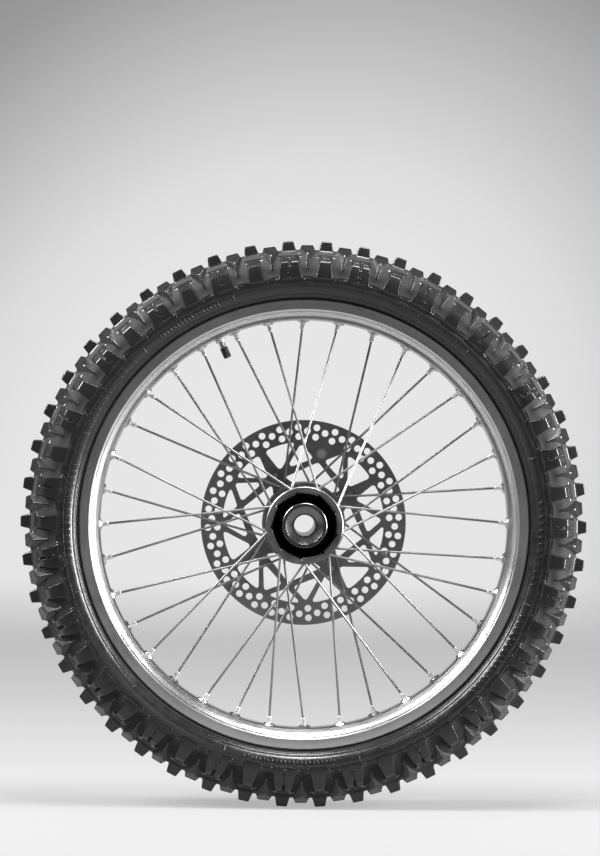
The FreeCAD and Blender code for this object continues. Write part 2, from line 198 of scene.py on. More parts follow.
# ------------------------------------------------------------------ materials
class Mat:
    """small helper round a node tree"""

    def __init__(self, name, base, rough, metallic=0.0, **sockets):
        self.m = bpy.data.materials.new(name)
        self.m.use_nodes = True
        self.t = self.m.node_tree
        self.b = self.t.nodes["Principled BSDF"]
        self.b.inputs["Base Color"].default_value = (base[0], base[1], base[2], 1) if not isinstance(base, float) else (base, base, base, 1)
        self.b.inputs["Roughness"].default_value = rough
        self.b.inputs["Metallic"].default_value = metallic
        for k, v in sockets.items():
            self.b.inputs[k.replace("_", " ")].default_value = v
        self.coord = self.t.nodes.new("ShaderNodeTexCoord")

    def node(self, kind, **props):
        n = self.t.nodes.new(kind)
        for k, v in props.items():
            setattr(n, k, v)
        return n

    def link(self, a, b):
        self.t.links.new(a, b)

    def noise(self, scale, detail=4.0, rough=0.55, vec=None, dist=0.0):
        n = self.node("ShaderNodeTexNoise")
        n.inputs["Scale"].default_value = scale
        n.inputs["Detail"].default_value = detail
        n.inputs["Roughness"].default_value = rough
        n.inputs["Distortion"].default_value = dist
        self.link(vec if vec is not None else self.coord.outputs["Object"], n.inputs["Vector"])
        return n.outputs["Fac"]

    def ramp(self, fac, stops):
        n = self.node("ShaderNodeValToRGB")
        cr = n.color_ramp
        while len(cr.elements) < len(stops):
            cr.elements.new(0.5)
        for e, (p, c) in zip(cr.elements, stops):
            e.position = p
            c = (c, c, c) if isinstance(c, float) else c
            e.color = (*c, 1)
        self.link(fac, n.inputs["Fac"])
        return n.outputs["Color"]

    def math(self, op, a, b=None, clamp=False):
        n = self.node("ShaderNodeMath", operation=op)
        n.use_clamp = clamp
        for i, s in enumerate((a, b)):
            if s is None:
                continue
            if isinstance(s, (int, float)):
                n.inputs[i].default_value = s
            else:
                self.link(s, n.inputs[i])
        return n.outputs[0]

    def mix(self, fac, a, b, mode="MIX"):
        n = self.node("ShaderNodeMix", data_type="RGBA", blend_type=mode)
        for i, s in ((0, fac), (6, a), (7, b)):
            if isinstance(s, (int, float)):
                if i == 0:
                    n.inputs[0].default_value = s
                else:
                    n.inputs[i].default_value = (s, s, s, 1)
            elif isinstance(s, tuple):
                n.inputs[i].default_value = (*s, 1)
            else:
                self.link(s, n.inputs[i])
        return n.outputs[2]

    def polar(self, kr=1.0, ky=1.0, ka=0.0):
        """object coordinates turned into (radius*kr, y*ky, angle*ka) about the Y axis"""
        sep = self.node("ShaderNodeSeparateXYZ")
        self.link(self.coord.outputs["Object"], sep.inputs[0])
        r2 = self.math("ADD", self.math("MULTIPLY", sep.outputs[0], sep.outputs[0]), self.math("MULTIPLY", sep.outputs[2], sep.outputs[2]))
        r = self.math("SQRT", r2)
        ang = self.math("ARCTAN2", sep.outputs[0], sep.outputs[2])
        comb = self.node("ShaderNodeCombineXYZ")
        self.link(self.math("MULTIPLY", r, kr), comb.inputs[0])
        self.link(self.math("MULTIPLY", sep.outputs[1], ky), comb.inputs[1])
        self.link(self.math("MULTIPLY", ang, ka), comb.inputs[2])
        return comb.outputs[0], r, ang, sep

    def bump(self, height, strength=0.3, dist=0.0005, normal=None):
        n = self.node("ShaderNodeBump")
        n.inputs["Strength"].default_value = strength
        n.inputs["Distance"].default_value = dist
        self.link(height, n.inputs["Height"])
        if normal is not None:
            self.link(normal, n.inputs["Normal"])
        return n.outputs["Normal"]

    def set(self, socket, out):
        self.link(out, self.b.inputs[socket])


def rubber(name, lo, hi, rough_lo, rough_hi, grain=900.0, dust=True):
    m = Mat(name, lo, 0.5, 0.0, Specular_IOR_Level=0.5)
    big = m.noise(9.0, 5.0, 0.6)
    mid = m.noise(70.0, 5.0, 0.6)
    fac = m.math("ADD", m.math("MULTIPLY", big, 0.55), m.math("MULTIPLY", mid, 0.45))
    m.set("Base Color", m.ramp(fac, [(0.30, lo), (0.70, hi)]))
    m.set("Roughness", m.ramp(m.math("ADD", m.math("MULTIPLY", mid, 0.6), m.math("MULTIPLY", big, 0.4)), [(0.35, rough_lo), (0.65, rough_hi)]))
    fine = m.noise(grain, 3.0, 0.6)
    n1 = m.bump(fine, 0.25, 0.00025)
    n2 = m.bump(m.noise(160.0, 4.0, 0.5), 0.25, 0.0006, n1)
    m.set("Normal", n2)
    return m.m


def turned_metal(name, base, rough, lines=1600.0, streak=0.12, metallic=1.0, bump=0.12, aniso=0.0, var=0.25):
    """metal with fine concentric tool or brush lines about the axle"""
    m = Mat(name, base, rough, metallic)
    vec, r, ang, sep = m.polar(1.0, 1.0, 0.02)
    ln = m.noise(lines, 3.0, 0.6, vec)
    cloud = m.noise(14.0, 4.0, 0.6)
    b = base if isinstance(base, float) else base[0]
    col = m.ramp(m.math("ADD", m.math("MULTIPLY", ln, streak * 2), m.math("MULTIPLY", cloud, 1 - streak * 2)),
                 [(0.30, b * (1 - var)), (0.70, min(1.0, b * (1 + var)))])
    m.set("Base Color", col)
    m.set("Roughness", m.ramp(m.math("ADD", m.math("MULTIPLY", ln, 0.5), m.math("MULTIPLY", cloud, 0.5)), [(0.3, rough * 0.8), (0.7, min(1.0, rough * 1.25))]))
    m.set("Normal", m.bump(ln, bump, 0.0002))
    if aniso:
        m.b.inputs["Anisotropic"].default_value = aniso
    return m.m


def cast_metal(name, base, rough, metallic=1.0, grain=700.0, bump=0.15, var=0.2):
    m = Mat(name, base, rough, metallic)
    cloud = m.noise(22.0, 5.0, 0.6)
    fine = m.noise(grain, 3.0, 0.6)
    m.set("Base Color", m.ramp(cloud, [(0.3, base * (1 - var)), (0.7, min(1.0, base * (1 + var)))]))
    m.set("Roughness", m.ramp(m.noise(60.0, 4.0), [(0.3, rough * 0.8), (0.7, min(1.0, rough * 1.2))]))
    m.set("Normal", m.bump(fine, bump, 0.0002))
    return m.m


M_TYRE = rubber("tyre_rubber", 0.007, 0.013, 0.17, 0.30)
# groove rubber: rougher than the tread rubber, and its darker colour is painted shade for the floor between the blocks
M_GROOVE_SHADE = rubber("groove_rubber_painted_shade", 0.003, 0.005, 0.78, 0.90)
M_TUBE = rubber("tube_rubber", 0.02, 0.03, 0.4, 0.5)
M_SEAL = rubber("seal_rubber", 0.010, 0.018, 0.30, 0.45)
M_CAP = rubber("cap_plastic", 0.010, 0.016, 0.35, 0.50, grain=1400.0)
M_RIM = turned_metal("rim_alloy", 0.50, 0.30, lines=900.0, streak=0.1, bump=0.03, var=0.05)
M_SPOKE = cast_metal("spoke_steel", 0.26, 0.40, bump=0.0, grain=400.0, var=0.1)
M_NIPPLE = cast_metal("nipple_alloy", 0.80, 0.42, metallic=0.75, bump=0.0, grain=400.0, var=0.06)
M_HUB = cast_metal("hub_alloy", 0.20, 0.38, bump=0.10, grain=900.0)
# painted shade: the hub within 39.2 mm of the axle, the recess round the spacer, is coloured near-black for the shade
# inside it
_t = M_HUB.node_tree
_b = _t.nodes["Principled BSDF"]
_c = _t.nodes.new("ShaderNodeTexCoord")
_m = _t.nodes.new("ShaderNodeVectorMath")
_m.operation = "MULTIPLY"
_m.inputs[1].default_value = (1.0, 0.0, 1.0)
_t.links.new(_c.outputs["Object"], _m.inputs[0])
_v = _t.nodes.new("ShaderNodeVectorMath")
_v.operation = "LENGTH"
_t.links.new(_m.outputs[0], _v.inputs[0])
_r = _t.nodes.new("ShaderNodeValToRGB")
_r.color_ramp.elements[0].position, _r.color_ramp.elements[0].color = 0.0392, (1, 1, 1, 1)
_r.color_ramp.elements[1].position, _r.color_ramp.elements[1].color = 0.0400, (0, 0, 0, 1)
_t.links.new(_v.outputs["Value"], _r.inputs["Fac"])
_x = _t.nodes.new("ShaderNodeMix")
_x.data_type = "RGBA"
# near-black colour of the painted shade in the recess
_x.inputs[7].default_value = (0.002, 0.002, 0.002, 1)
_t.links.new(_r.outputs["Color"], _x.inputs[0])
_t.links.new(_b.inputs["Base Color"].links[0].from_socket, _x.inputs[6])
_t.links.new(_x.outputs[2], _b.inputs["Base Color"])
M_HUBT = turned_metal("hub_turned", 0.085, 0.33, lines=1800.0, streak=0.25, bump=0.10, var=0.25)
M_SPACER = turned_metal("spacer_alloy", 0.13, 0.26, lines=420.0, streak=0.3, bump=0.06, var=0.4)
M_DISC = turned_metal("disc_steel", 0.24, 0.42, lines=1500.0, streak=0.3, bump=0.08, var=0.2)
# a small pale round mark on the plain sector of the carrier
_t = M_DISC.node_tree
_b = _t.nodes["Principled BSDF"]
_c = _t.nodes.new("ShaderNodeTexCoord")
_v = _t.nodes.new("ShaderNodeVectorMath")
_v.operation = "DISTANCE"
_v.inputs[1].default_value = (0.0221, 0.047, 0.0872)
_t.links.new(_c.outputs["Object"], _v.inputs[0])
_r = _t.nodes.new("ShaderNodeValToRGB")
_r.color_ramp.elements[0].position, _r.color_ramp.elements[0].color = 0.0044, (1, 1, 1, 1)
_r.color_ramp.elements[1].position, _r.color_ramp.elements[1].color = 0.0050, (0, 0, 0, 1)
_t.links.new(_v.outputs["Value"], _r.inputs["Fac"])
_x = _t.nodes.new("ShaderNodeMix")
_x.data_type = "RGBA"
_x.inputs[7].default_value = (0.62, 0.62, 0.62, 1)
_t.links.new(_r.outputs["Color"], _x.inputs[0])
_t.links.new(_b.inputs["Base Color"].links[0].from_socket, _x.inputs[6])
_t.links.new(_x.outputs[2], _b.inputs["Base Color"])
M_BOLT = cast_metal("bolt_steel", 0.45, 0.32, bump=0.03)
M_BEAR = cast_metal("bearing_steel", 0.60, 0.18, bump=0.03)
M_BRASS = cast_metal("valve_plating", 0.55, 0.30, bump=0.05)
M_BEAD = cast_metal("bead_wire", 0.40, 0.40)

CAD_MATS = {
    "bead_core_disc_side": M_BEAD, "bead_core_free_side": M_BEAD, "inner_tube": M_TUBE, "rim_strip": M_TUBE,
    "hub": M_HUB, "valve_core": M_BRASS, "valve_pin": M_BRASS, "distance_sleeve": M_SPACER,
    "oil_seal_free_side": M_SEAL, "oil_seal_disc_side": M_SEAL, "tyre": M_TYRE, "rim": M_RIM,
    "brake_disc": M_DISC, "disc_bolts": M_BOLT, "valve_stem": M_BRASS, "valve_nut": M_BOLT, "valve_cap": M_CAP,
    "wheel_spacer_free_side": M_SPACER, "wheel_spacer_disc_side": M_SPACER,
    "nipples_free_side": M_NIPPLE, "nipples_disc_side": M_NIPPLE,
}
for nm, ob in N.items():
    mt = CAD_MATS.get(nm)
    if mt is None:
        mt = M_SPOKE if nm.startswith("spokes") else (M_SEAL if "shields" in nm else M_BEAR)
    ob.data.materials.clear()
    ob.data.materials.append(mt)

# ------------------------------------------------------------------ tyre
OUTER = [(282.3, 27.6), (284.6, 33.6), (290.0, 39.6), (297.0, 43.4), (304.0, 44.2), (312.0, 43.2),
         (321.0, 40.2), (331.0, 33.6), (338.4, 24.0), (342.3, 12.5), (343.5, 0.0)]
INNER = [(282.05, -24.0), (281.6, -21.2), (279.6, -20.1), (270.0, -20.05), (SEAT_R, -18.6), (SEAT_R, -9.0),
         (270.0, -9.3), (276.0, -12.0), (282.0, -17.5), (290.0, -27.0), (298.0, -36.0), (306.0, -38.5),
         (314.0, -37.5), (322.0, -33.5), (329.0, -26.0), (333.5, -15.0), (335.0, -5.0)]


def smooth_curve(pts, per=14):
    p = np.array([pts[0]] + list(pts) + [pts[-1]], float)
    p[0] = 2 * p[1] - p[2]
    p[-1] = np.array([pts[-2][0], -pts[-2][1]])       # mirror over the crown
    out = []
    for i in range(1, len(p) - 2):
        p0, p1, p2, p3 = p[i - 1], p[i], p[i + 1], p[i + 2]
        t0, t1 = 0.0, np.linalg.norm(p1 - p0) ** 0.5
        t2 = t1 + np.linalg.norm(p2 - p1) ** 0.5
        t3 = t2 + np.linalg.norm(p3 - p2) ** 0.5
        for k in range(per):
            t = t1 + (t2 - t1) * k / per
            a1 = (t1 - t) / (t1 - t0) * p0 + (t - t0) / (t1 - t0) * p1
            a2 = (t2 - t) / (t2 - t1) * p1 + (t - t1) / (t2 - t1) * p2
            a3 = (t3 - t) / (t3 - t2) * p2 + (t - t2) / (t3 - t2) * p3
            b1 = (t2 - t) / (t2 - t0) * a1 + (t - t0) / (t2 - t0) * a2
            b2 = (t3 - t) / (t3 - t1) * a2 + (t - t1) / (t3 - t1) * a3
            out.append((t2 - t) / (t2 - t1) * b1 + (t - t1) / (t2 - t1) * b2)
    out.append(np.array(pts[-1], float))
    return np.array(out)


HALF = smooth_curve(OUTER, 40)[::-1]                   # crown first: (r, y) with y >= 0
_seg = np.linalg.norm(np.diff(HALF, axis=0), axis=1)
S_ARC = np.concatenate([[0], np.cumsum(_seg)])         # arc length from the crown
S_END = S_ARC[-1]
_tan = np.gradient(HALF, axis=0)
_tan /= np.linalg.norm(_tan, axis=1)[:, None]
_nor = np.stack([-(-_tan[:, 1]), -_tan[:, 0]], axis=1)   # outward: (dr, dy) turned
_nor = np.stack([_tan[:, 1], -_tan[:, 0]], axis=1)


def surf(s, h=0.0):
    """point (r, y) at arc length s from the crown (s < 0 on the free side) and height h over the carcass"""
    a = abs(s)
    r = np.interp(a, S_ARC, HALF[:, 0]); y = np.interp(a, S_ARC, HALF[:, 1])
    nr = np.interp(a, S_ARC, _nor[:, 0]); ny = np.interp(a, S_ARC, _nor[:, 1])
    l = hypot(nr, ny)
    r, y = r + nr / l * h, y + ny / l * h
    return (r, y if s >= 0 else -y)


def to_sh(y, r):
    """(arc length, height) over the carcass of a point given as (y, radius), y >= 0"""
    d = HALF - np.array([r, y])
    i = int(np.argmin((d ** 2).sum(1)))
    h = float(-d[i] @ _nor[i])
    s = float(S_ARC[i] - d[i] @ _tan[i])
    return s, h


def s_of_r(r):
    """arc length where the flank passes radius r"""
    i = np.argmin(np.abs(HALF[:, 0] - r))
    return float(S_ARC[i])


def knob(top, base, ang, sg, depth=None, rt=0.9, rb=2.2, nround=3, bevel=0.85, flare=2.4, fill=1.6):
    """tread block. top: (t, s, h) corners in order; base: (t, s) corners on the carcass; ang: its angle; sg: side"""
    n = len(top)
    T = [np.array(p, float) for p in top]
    B = [np.array(p, float) for p in base]
    if sum(T[i - 1][0] * T[i][1] - T[i][0] * T[i - 1][1] for i in range(n)) < 0:
        T.reverse(); B.reverse()
    # round the corners of both outlines with matching counts
    tops, bases = [], []
    for i in range(n):
        def arc(P, r, dim):
            a, b, c = P[i - 1], P[i], P[(i + 1) % n]
            d1, d2 = (b - a), (c - b)
            l1, l2 = np.linalg.norm(d1[:2]), np.linalg.norm(d2[:2])
            turn = math.acos(max(-1, min(1, float((d1[:2] @ d2[:2]) / (l1 * l2)))))
            t = min(r * math.tan(max(turn, 0.05) / 2), 0.4 * l1, 0.4 * l2)
            p, q = b - d1 / l1 * t, b + d2 / l2 * t
            res = []
            for k in range(nround + 1):
                u = k / nround
                res.append((1 - u) ** 2 * p + 2 * u * (1 - u) * b + u * u * q)
            return res
        tops += arc(T, rt, 3)
        bases += arc(B, rb, 2)
    m = len(tops)

    def inset(P, d):
        """2-D outline moved in by d (out if negative), other coordinates kept"""
        out = []
        for i in range(m):
            a, b, c = P[i - 1][:2], P[i][:2], P[(i + 1) % m][:2]
            d1, d2 = b - a, c - b
            d1 = d1 / (np.linalg.norm(d1) + 1e-9); d2 = d2 / (np.linalg.norm(d2) + 1e-9)
            n1, n2 = np.array([-d1[1], d1[0]]), np.array([-d2[1], d2[0]])
            nn = n1 + n2
            nn = nn / (np.linalg.norm(nn) + 1e-9)
            k = 1.0 / max(0.6, float(nn @ n1))
            q = np.array(P[i], float)
            q[:2] = b + nn * d * k
            out.append(q)
        return out

    B3 = [np.array([b[0], b[1], 0.0]) for b in bases]
    rings = []
    bv = bevel
    for d, dh in ((2.6 * bv, 0.0), (1.0 * bv, 0.0), (0.3 * bv, 0.29 * bv)):
        R = inset(tops, d)
        for q in R:
            q[2] -= dh
        rings.append(R)
    side = [np.array(q, float) for q in tops]
    for q, b in zip(side, B3):
        H = max(q[2], 0.3)
        f = min(0.45, bv / H)
        q[:] = q * (1 - f) + b * f
    rings.append(side)
    mid = []
    for q, b in zip(tops, B3):
        H = max(q[2], 0.3)
        f = max(0.5, 1 - 2.4 / H) if H > 1 else 0.6
        mid.append(q * (1 - f) + b * f)
    rings.append(mid)
    for u in (0.08, 0.28, 0.55, 0.80):
        f1 = inset(B3, -u * flare)
        for q, md in zip(f1, mid):
            q[2] = min(fill, 0.55 * max(md[2], 0.2)) * (1 - sqrt(1 - (1 - u) ** 2)) + 0.06
        rings.append(f1)
    f2 = inset(B3, -flare)
    for q in f2:
        q[2] = 0.05
    rings.append(f2)
    f3 = inset(B3, -flare * 1.08)
    for q in f3:
        q[2] = -0.8
    rings.append(f3)
    verts, faces = [], []
    for R in rings:
        for t, s, h in R:
            r, y = surf(s * sg if s >= 0 else s * sg, h)
            verts.append(pol(r, ang + degrees(t / r), y))
    for i in range(len(rings) - 1):
        for k in range(m):
            k2 = (k + 1) % m
            faces.append((i * m + k, i * m + k2, (i + 1) * m + k2, (i + 1) * m + k))
    faces.append(tuple(range(m - 1, -1, -1)))
    faces.append(tuple(range((len(rings) - 1) * m, len(rings) * m)))
    return verts, faces


def build_tyre():
    # carcass: two half profiles over the crown, closed inside
    fine = []
    s = 0.0
    while s < S_END:
        fine.append(s)
        r = surf(s)[0]
        s += 0.55 if r < 311 else 1.5
    fine.append(S_END)
    ss = [-v for v in reversed(fine)] + fine[1:]
    inner = [(r, -y) for r, y in INNER]                        # +y bead first
    inner_all = inner + [(r, -y) for r, y in reversed(inner)]
    segs = PITCHES * 16
    verts, faces = [], []
    m = len(ss) + len(inner_all)
    E0 = 303.8
    for k in range(segs):
        a = 360.0 * k / segs
        ph = ((a - PHASE) / STEP) % 1.0                        # 0 at a tall block, 0.5 at an intermediate one
        u = abs(ph - 0.5) * 2                                  # 1 at tall and shoulder blocks, 0 in the scoops
        edge = E0 + 4.2 * (1 - min(1.0, u / 0.55) ** 2.6 if u < 0.55 else 0.0)
        for s_ in ss:
            r0, y0 = surf(s_)
            # tread cap stands 1.5 mm proud of the flank, with a scalloped edge
            step = min(1.0, max(0.0, (r0 - edge) / 1.3))
            h = 1.0 * step * step * (3 - 2 * step) if r0 > 300 else 0.0
            # scoop between neighbouring shoulder blocks
            if 306 < r0 < 322:
                g = max(0.0, 1 - (u / 0.5) ** 2) * math.exp(-((r0 - 313) / 5.5) ** 2)
                h -= 1.4 * g
            if r0 > 322:
                h *= max(0.0, 1 - (r0 - 322) / 10)
            # fine rib round the flank, a concave band over it, and the guard lines by the rim
            h += 0.6 * math.exp(-((r0 - 299.6) / 0.6) ** 2)
            h -= 0.55 * math.exp(-((r0 - 303.0) / 1.2) ** 2)
            h += 0.55 * math.exp(-((r0 - 287.6) / 0.45) ** 2)
            h += 0.9 * math.exp(-((r0 - 284.6) / 0.8) ** 2)
            r, y = surf(s_, h)
            verts.append(pol(r, a, y))
        for r, y in inner_all:
            verts.append(pol(r, a, y))
    for k in range(segs):
        k2 = (k + 1) % segs
        for i in range(m):
            j = (i + 1) % m
            faces.append((k * m + i, k * m + j, k2 * m + j, k2 * m + i))
    global CARCASS_FACES
    CARCASS_FACES = len(faces)
    bag = Bag()
    bag.add((verts, faces))
    # blocks
    for k in range(PITCHES):
        a = PHASE + k * STEP
        s1, h1 = to_sh(13.4, 353.9)
        sb = to_sh(17.5, 341.4)[0]
        top = [(-6.5, -13.5, 11.6), (6.5, -13.5, 11.6), (6.5, 13.5, 11.6), (-6.5, 13.5, 11.6)]
        base = [(-9.3, -17.2), (9.3, -17.2), (9.3, 17.2), (-9.3, 17.2)]
        bag.add(knob(top, base, a, 1))
        for sg in (1, -1):
            # intermediate block
            am = a + STEP / 2
            A = to_sh(10.5, 349.0); Bp = to_sh(22.5, 343.2); C = to_sh(35.2, 337.8)
            top = [(-7.2, *A), (7.2, *A), (9.4, *Bp), (0.9, C[0], C[1]), (-0.9, C[0], C[1]), (-9.4, *Bp)]
            e = s_of_r(318.4)
            base = [(-9.2, 8.6), (9.2, 8.6), (10.2, 24.6), (1.2, e), (-1.2, e), (-10.2, 24.6)]
            bag.add(knob(top, base, am, sg, rt=0.8, rb=1.8, flare=1.6, bevel=0.75))
            # shoulder block: narrow and wide by turns; the wide one is two halves with a sipe between
            I = to_sh(36.0, 332.4); O_ = to_sh(43.4, 325.9)
            sO = s_of_r(305.4)
            sI = s_of_r(333.6)
            if k % 2 == 0:
                top = [(-6.0, *I), (6.0, *I), (7.2, *O_), (-7.2, *O_)]
                base = [(-7.8, sI), (7.8, sI), (10.0, sO), (-10.0, sO)]
                bag.add(knob(top, base, a, sg, rt=0.8, rb=2.4, flare=4.6, bevel=0.8, fill=4.5))
            else:
                for q in (1, -1):
                    top = [(q * 1.7, *I), (q * 9.5, *I), (q * 11.4, *O_), (q * 1.7, *O_)]
                    base = [(q * 1.3, sI), (q * 11.6, sI), (q * 13.8, sO), (q * 0.5, sO)]
                    bag.add(knob(top, base, a, sg, rt=0.7, rb=1.6, flare=4.0, bevel=0.7, fill=4.5))
                # web between the halves, below the sipe's floor
                W0 = s_of_r(321.5)
                top = [(-2.6, W0, 2.6), (2.6, W0, 2.6), (2.6, s_of_r(312.0), 2.4), (-2.6, s_of_r(312.0), 2.4)]
                base = [(-2.6, W0 - 3), (2.6, W0 - 3), (2.6, sO - 1.0), (-2.6, sO - 1.0)]
                bag.add(knob(top, base, a, sg, rt=0.2, rb=0.3, flare=0.2, bevel=0.4))
    return bag


def flank_marks():
    """plain raised dashes and ticks on both flanks; they stand for nothing"""
    bag = Bag()

    def bar(a, s0, s1, w, h, sg, lean=0.0):
        """rounded bar along the flank between arc lengths s0 and s1"""
        n = 7
        rings = []
        for i in range(n + 1):
            u = i / n
            s = s0 + (s1 - s0) * u
            end = min(1.0, min(u, 1 - u) * n / 1.0 + 0.25)
            ww = w * (0.55 + 0.45 * end)
            row = []
            for t, hh in ((-ww / 2 - 0.25, -0.25), (-ww / 2, h * 0.55 * end), (-ww / 2 + 0.22, h * end), (ww / 2 - 0.22, h * end), (ww / 2, h * 0.55 * end), (ww / 2 + 0.25, -0.25)):
                r, y = surf(s * sg, hh)
                row.append(pol(r, a + degrees((t + lean * (u - 0.5)) / r), y))
            rings.append(row)
        v, f = [], []
        for row in rings:
            v += row
        m = 6
        for i in range(n):
            for k in range(m):
                k2 = (k + 1) % m
                f.append((i * m + k, i * m + k2, (i + 1) * m + k2, (i + 1) * m + k))
        f.append(tuple(range(m - 1, -1, -1)))
        f.append(tuple(range(n * m, (n + 1) * m)))
        bag.add((v, f))

    for sg in (1, -1):
        for a in (14, 42.5, 73, 109, 139, 166, 199, 226, 253, 287, 317, 342):   # long thin ticks
            bar(a, s_of_r(299.6), s_of_r(289.5), 0.9, 0.8, sg)
        # bands of equal dashes
        for a0, a1, n, r0, r1, w, lean in ((22, 40, 19, 297.6, 291.0, 1.5, 1.6), (84, 104, 13, 298.4, 290.2, 3.0, 3.0),
                                           (112, 134, 15, 298.4, 290.2, 3.0, 3.0), (146, 160, 15, 297.0, 292.0, 1.2, 0.0),
                                           (172, 194, 23, 297.0, 292.5, 1.1, 0.0), (262, 284, 15, 298.4, 290.2, 3.0, 3.0),
                                           (292, 313, 14, 298.4, 290.2, 3.0, 3.0), (322, 338, 17, 297.6, 291.0, 1.5, 1.6)):
            for i in range(n):
                bar(a0 + (a1 - a0) * i / (n - 1), s_of_r(r0), s_of_r(r1), w, 0.75, sg, lean)
    return bag


tb = build_tyre()
mk = flank_marks()
tb.add((mk.v, mk.f))
tyre_ob = make("tyre_moulded", tb.v, tb.f, M_TYRE, body="wheel", replaces=("tyre",), slot="tyre_rubber", weighted=True)
# the floor between the blocks is dull, as moulded, and coloured darker than the blocks as painted shade between them;
# the blocks and the flank are polished
tyre_ob.data.materials.append(M_GROOVE_SHADE)
for p_ in tyre_ob.data.polygons:
    if p_.index >= CARCASS_FACES:
        break
    c_ = p_.center
    if hypot(c_.x, c_.z) > 0.3065:
        p_.material_index = 1

# ------------------------------------------------------------------ spokes
spokes = []
for k in range(9):
    for name, ah, yh, rh, seat, sgn, ny in (
            ("free_leading", 20 + 40 * k, FREE_OUT, 47.0, 43.6, -1, -NIPPLE_Y),
            ("free_trailing", 20 + 40 * k, FREE_IN, 47.0, 43.6, 1, -NIPPLE_Y),
            ("disc_leading", 10 + 40 * k, DISC_IN, 50.0, 46.8, -1, NIPPLE_Y),
            ("disc_trailing", 10 + 40 * k, DISC_OUT, 50.0, 46.8, 1, NIPPLE_Y)):
        h = pol(rh, ah + LACE, yh)
        n_ = pol(258.0, ah + LACE + sgn * 30, ny)
        d = (n_ - h) / np.linalg.norm(n_ - h)
        t = 0.0
        while hypot(*(h - d * t)[[0, 2]]) > seat:
            t += 0.02
        spokes.append((name, h, h - d * t, n_, d))

bags = {}
for name, h, s, n_, d in spokes:
    L = float(np.linalg.norm(n_ - s))
    prof = [(-2.2, 0.6), (-2.15, 2.2), (-1.9, 2.9), (-1.4, 3.25), (-0.5, 3.3), (-0.1, 3.15), (0.0, 2.3), (0.5, 1.86), (1.4, 1.7), (3.0, 1.45)]
    prof += [(L * q, 1.45) for q in (0.1, 0.3, 0.5, 0.7, 0.9)]
    t0 = L - 24.0
    prof = [p for p in prof if p[0] < t0 - 1]
    prof += [(t0, 1.45)]
    t = t0 + 0.4
    while t < L - 14.6:                                   # the last of the thread shows above the nipple
        prof += [(t, 1.36), (t + 0.35, 1.52)]
        t += 0.72
    prof += [(L - 14.0, 1.45), (L - 1.2, 1.45)]
    bags.setdefault(name, Bag()).add(along(prof, s, d, 16))
for name, b in bags.items():
    make("spoke_set_" + name, b.v, b.f, M_SPOKE, body="wheel", replaces=("spokes_" + name,), slot="spoke_steel", sharp=50)

nb = {"free_side": Bag(), "disc_side": Bag()}
for name, h, s, n_, d in spokes:
    def rad(t, r, a):
        if -12.6 < t < -7.4:                              # four flats for the spoke key
            return min(r, 2.62 / max(abs(cos(a)), abs(sin(a))))
        return r
    prof = [(-14.4, 1.9), (-14.35, 2.35), (-14.0, 2.75), (-13.4, 2.95), (-12.7, 3.0), (-12.5, 3.0), (-7.5, 3.0), (-7.3, 3.2), (-6.9, 3.2),
            (-6.7, 3.02), (-6.2, 3.02), (-6.0, 3.2), (-4.2, 3.2), (-2.8, 3.2), (-0.9, 4.15), (-0.35, 4.15), (-0.3, 1.9)]
    nb["free_side" if name.startswith("free") else "disc_side"].add(along(prof, n_, d, 32, rad))
for sd, b in nb.items():
    make("nipple_set_" + sd, b.v, b.f, M_NIPPLE, body="wheel", replaces=("nipples_" + sd,), slot="nipple_alloy", sharp=35)

# ------------------------------------------------------------------ rim
NIPS = [(float(np.degrees(atan2(n_[0], n_[2]))) % 360, float(n_[1]), d) for _, _, _, n_, d in spokes]
half = [(WELL_R, 0), (WELL_R, 7.2), (SEAT_R - 0.6, 10.6), (SEAT_R, 11.6), (SEAT_R, 19.2), (269.6, 20.4), (279.2, 20.5),
        (281.2, 21.8), (FLANGE_R, 23.6), (281.0, 25.3), (279.4, FLANGE_Y), (268.6, FLANGE_Y), (266.6, 24.6), (265.4, 21.6),
        (261.8, 18.6), (260.6, 17.8), (256.6, 12.6), (UNDER_R, 9.0), (UNDER_R, 0)]
full = half[:-1] + [(UNDER_R, 0)] + [(r, -y) for r, y in reversed(half[1:-1])]
rr = [0.6] * len(full)
prof = round_poly(full, 0.9, 4)
dense = []
for i, p in enumerate(prof):
    q = prof[(i + 1) % len(prof)]
    L = np.linalg.norm(q - p)
    lim = 0.9 if (p[0] < 262 and q[0] < 262 and abs(p[1]) < 16) and not (p[0] > 258.5 and q[0] > 258.5) else 6.0
    c = max(1, int(math.ceil(L / lim)))
    dense += [p + (q - p) * j / c for j in range(c)]
nip_sorted = sorted(NIPS)


def rim_disp(r, y, a):
    if r > 262.5 or abs(y) > 17 or r > 258.8:
        return r, y
    best = 1e9
    k = int(((a - LACE) % 360) / 10.0 + 0.5) % 36
    an, ny, d = NIP_AT[k]
    da = (a - an + 180) % 360 - 180
    dist = hypot(radians(da) * 255.0, y - ny)
    if dist > 9.5:
        return r, y
    u = max(0.0, min(1.0, (8.4 - dist) / 3.4))
    hgt = 2.5 * u * u * (3 - 2 * u)
    base = min(r, 258.0)
    return min(r, base - hgt * 0.96), y


NIP_AT = {int(((a - LACE) % 360) / 10.0 + 0.5) % 36: (a, y, d) for a, y, d in NIPS}
v, f = lathe([tuple(p) for p in dense], 1440, disp=rim_disp)
rim_ob = make("rim_rolled", v, f, M_RIM, body="wheel", replaces=("rim",), slot="rim_alloy", sharp=60)

# ------------------------------------------------------------------ brake disc
A0 = 14.1 + DISC_T


def P2(R, a):
    return np.array([R * sin(radians(a)), R * cos(radians(a))])


